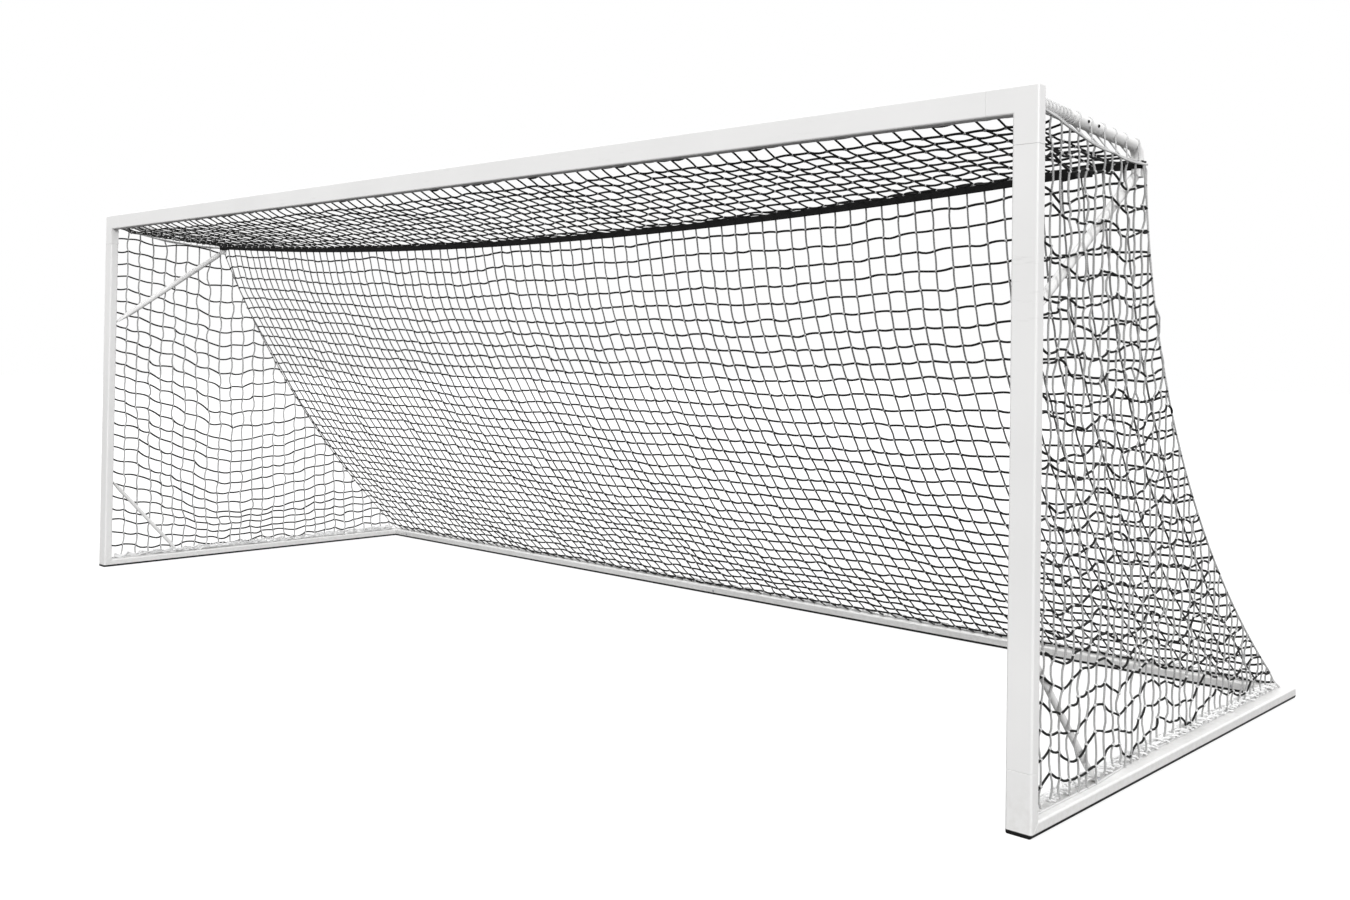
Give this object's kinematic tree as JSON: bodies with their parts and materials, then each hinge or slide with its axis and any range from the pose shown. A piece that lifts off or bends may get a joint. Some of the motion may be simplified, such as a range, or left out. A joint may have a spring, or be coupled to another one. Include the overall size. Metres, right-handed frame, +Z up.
{
  "type": "soccer goal frame",
  "caption": "Full-size portable soccer goal: wide-section aluminium front and ground frame, round net supports, rear strap and fitted square-mesh net.",
  "frame": {"origin": "on the ground in the middle of the goal's footprint", "axes": "+X across the mouth to the right seen from the pitch, +Y from the mouth back to the rear bar, +Z up"},
  "size_m": [7.5232, 2.54, 2.5416],
  "materials": {
    "white_coat": "satin powder coat",
    "mill_aluminium": "mill, hidden inside the joints",
    "zinc_steel": "zinc plated",
    "black_webbing": "woven polyester webbing",
    "black_plastic": "moulded",
    "white_twine": "knotted square-mesh twine"
  },
  "bodies": {
    "goal": {"crossbar": "white_coat", "top_corner_right": "white_coat", "upright_right": "white_coat", "foot_right": "white_coat", "foot_spline_right": "mill_aluminium", "foot_spline_right_bolt": "zinc_steel", "corner_spline_right": "mill_aluminium", "corner_spline_right_bolt": "zinc_steel", "crossbar_spline_right": "mill_aluminium", "crossbar_bolt_right": "zinc_steel", "top_corner_left": "white_coat", "upright_left": "white_coat", "foot_left": "white_coat", "foot_spline_left": "mill_aluminium", "foot_spline_left_bolt": "zinc_steel", "corner_spline_left": "mill_aluminium", "corner_spline_left_bolt": "zinc_steel", "crossbar_spline_left": "mill_aluminium", "crossbar_bolt_left": "zinc_steel", "base_side_right": "white_coat", "rear_stub_right": "white_coat", "rear_bar_right": "white_coat", "rear_spline_right": "mill_aluminium", "rear_bolt_right": "zinc_steel", "base_side_left": "white_coat", "rear_stub_left": "white_coat", "rear_bar_left": "white_coat", "rear_spline_left": "mill_aluminium", "rear_bolt_left": "zinc_steel", "rear_spline_middle": "mill_aluminium", "rear_bolt_middle": "zinc_steel", "top_socket_right": "white_coat", "top_tube_right": "white_coat", "tube_bolt_right_1": "zinc_steel", "tube_bolt_right_2": "zinc_steel", "diagonal_brace_right": "white_coat", "brace_bolt_right": "zinc_steel", "lower_brace_right": "white_coat", "lower_brace_bolt_right_1": "zinc_steel", "lower_brace_bolt_right_2": "zinc_steel", "top_socket_left": "white_coat", "top_tube_left": "white_coat", "tube_bolt_left_1": "zinc_steel", "tube_bolt_left_2": "zinc_steel", "diagonal_brace_left": "white_coat", "brace_bolt_left": "zinc_steel", "lower_brace_left": "white_coat", "lower_brace_bolt_left_1": "zinc_steel", "lower_brace_bolt_left_2": "zinc_steel", "strap_loop_right": "black_webbing", "strap_loop_left": "black_webbing", "rear_strap": "black_webbing", "buckle_body": "black_plastic", "buckle_pin": "zinc_steel", "net_side_right": "white_twine", "net_side_left": "white_twine", "net_roof": "white_twine", "net_back": "white_twine"},
    "lever": {"buckle_lever": "black_plastic"}
  },
  "joints": [
    {"name": "buckle_lever_turn", "type": "hinge", "parent": "goal", "child": "lever", "pos_m": [3.508, -0.4123, 2.3563], "axis": [0, 0, 1], "range_deg": [0, 70], "stiffness_Nm_per_rad": 0.02}
  ]
}
